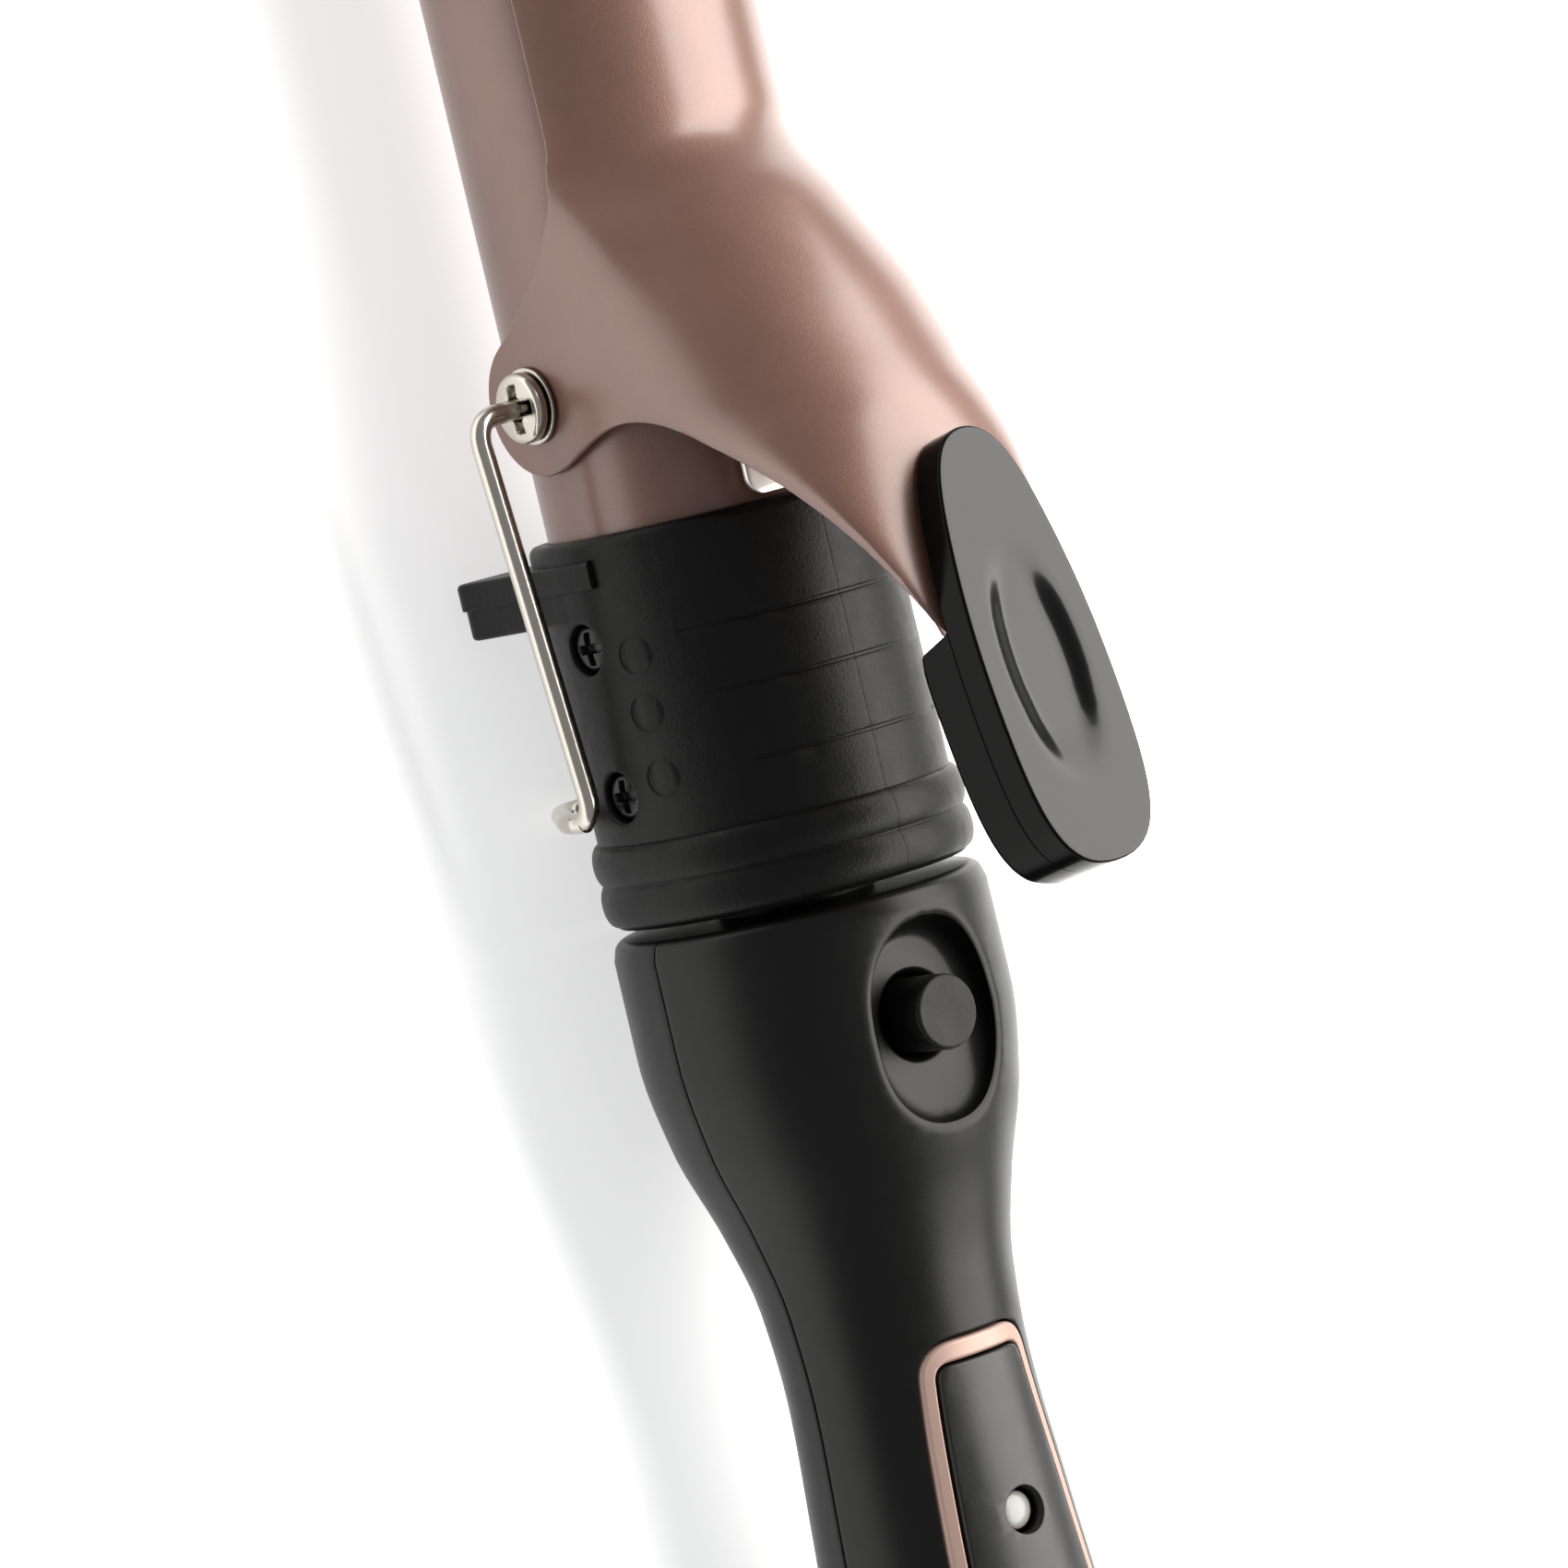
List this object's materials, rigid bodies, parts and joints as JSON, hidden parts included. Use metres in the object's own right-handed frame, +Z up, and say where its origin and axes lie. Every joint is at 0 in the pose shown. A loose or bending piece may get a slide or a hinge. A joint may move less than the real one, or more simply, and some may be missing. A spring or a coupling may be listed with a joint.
{
  "type": "curling iron",
  "caption": "Hair curling iron with a spring clamp, wire rest and barrel attachment that plugs into a soft-touch handle.",
  "frame": {"origin": "middle of the bounding box, on the surface that the iron rests on", "axes": "+X along the barrel towards its tip, +Y through the left pivot screw, +Z up through the thumb lever"},
  "size_m": [0.378, 0.0508, 0.0729],
  "materials": {
    "rose_gold": "satin metallic coating, rose gold",
    "rose_trim": "satin metallic plating, rose gold",
    "collar_plastic": "fine-textured satin black",
    "grip_plastic": "soft-touch black coating",
    "panel_plastic": "satin dark grey",
    "lever_plastic": "polished black",
    "nickel": "bright nickel plating",
    "black_steel": "black oxide",
    "spring_steel": "polished spring steel",
    "aluminium": "extruded, unpolished",
    "ceramic": "white ceramic or glass sleeving",
    "brass": "plain",
    "lens_plastic": "milky, translucent",
    "board": "glass-epoxy laminate, solder mask"
  },
  "bodies": {
    "handle": {"handle_front_shell": "grip_plastic", "handle_rear_shell": "grip_plastic", "handle_screw_front": "nickel", "handle_screw_rear": "nickel", "panel_trim": "rose_trim", "panel_insert": "panel_plastic", "indicator_lens": "lens_plastic", "indicator_led": "lens_plastic", "circuit_board": "board", "power_switch": "collar_plastic", "temp_up_switch": "collar_plastic", "temp_down_switch": "collar_plastic", "socket_block": "collar_plastic", "socket_pin_left": "brass", "socket_pin_right": "brass", "release_spring": "spring_steel"},
    "power_key": {"power_button": "lever_plastic"},
    "temp_up_key": {"temp_up_button": "lever_plastic"},
    "temp_down_key": {"temp_down_button": "lever_plastic"},
    "release": {"release_button": "collar_plastic", "latch_yoke": "panel_plastic"},
    "gland": {"cord_gland": "collar_plastic"},
    "barrel": {"barrel_tube": "rose_gold", "cool_tip": "collar_plastic", "heater_shoe_upper": "aluminium", "heater_shoe_lower": "aluminium", "ceramic_heater": "ceramic", "thermal_fuse": "nickel", "heater_lead_left": "ceramic", "heater_lead_right": "ceramic", "pivot_screw_left": "nickel", "pivot_screw_right": "nickel", "pivot_washer_left": "nickel", "pivot_washer_right": "nickel", "pivot_nut_left": "nickel", "pivot_nut_right": "nickel", "collar_shell_left": "collar_plastic", "collar_shell_right": "collar_plastic", "collar_screw_front": "black_steel", "collar_screw_rear": "black_steel", "plug_housing": "collar_plastic", "plug_contact_left": "brass", "plug_contact_right": "brass"},
    "clamp": {"clamp_plate": "rose_gold", "clamp_spring": "spring_steel", "lever_pad": "lever_plastic", "lever_base": "lever_plastic", "lever_screw_front": "nickel", "lever_screw_rear": "nickel"},
    "rest": {"wire_rest": "nickel"}
  },
  "joints": [
    {"name": "barrel_pull_off", "type": "slide", "parent": "handle", "child": "barrel", "axis": [1, 0, 0], "range_m": [0, 0.045]},
    {"name": "clamp_open", "type": "hinge", "parent": "barrel", "child": "clamp", "pos_m": [0.039, 0, 0.02155], "axis": [0, -1, 0], "range_deg": [0, 18.5], "stiffness_Nm_per_rad": 1.2, "springref_deg": -20.05, "deforming": ["clamp_spring"]},
    {"name": "rest_swing", "type": "hinge", "parent": "barrel", "child": "rest", "pos_m": [0.039, 0, 0.02155], "axis": [0, -1, 0], "range_deg": [0, 105]},
    {"name": "release_press", "type": "slide", "parent": "handle", "child": "release", "axis": [0, 0, -1], "range_m": [0, 0.002], "stiffness_N_per_m": 800, "springref_m": -0.002, "deforming": ["release_spring"]},
    {"name": "power_press", "type": "slide", "parent": "handle", "child": "power_key", "axis": [0, 0, -1], "range_m": [0, 0.0005], "stiffness_N_per_m": 400, "springref_m": -0.001},
    {"name": "temp_up_press", "type": "slide", "parent": "handle", "child": "temp_up_key", "axis": [0, 0, -1], "range_m": [0, 0.0005], "stiffness_N_per_m": 400, "springref_m": -0.001},
    {"name": "temp_down_press", "type": "slide", "parent": "handle", "child": "temp_down_key", "axis": [0, 0, -1], "range_m": [0, 0.0005], "stiffness_N_per_m": 400, "springref_m": -0.001},
    {"name": "gland_turn", "type": "hinge", "parent": "handle", "child": "gland", "pos_m": [-0.181, 0, 0.02255], "axis": [1, 0, 0], "continuous": true}
  ]
}
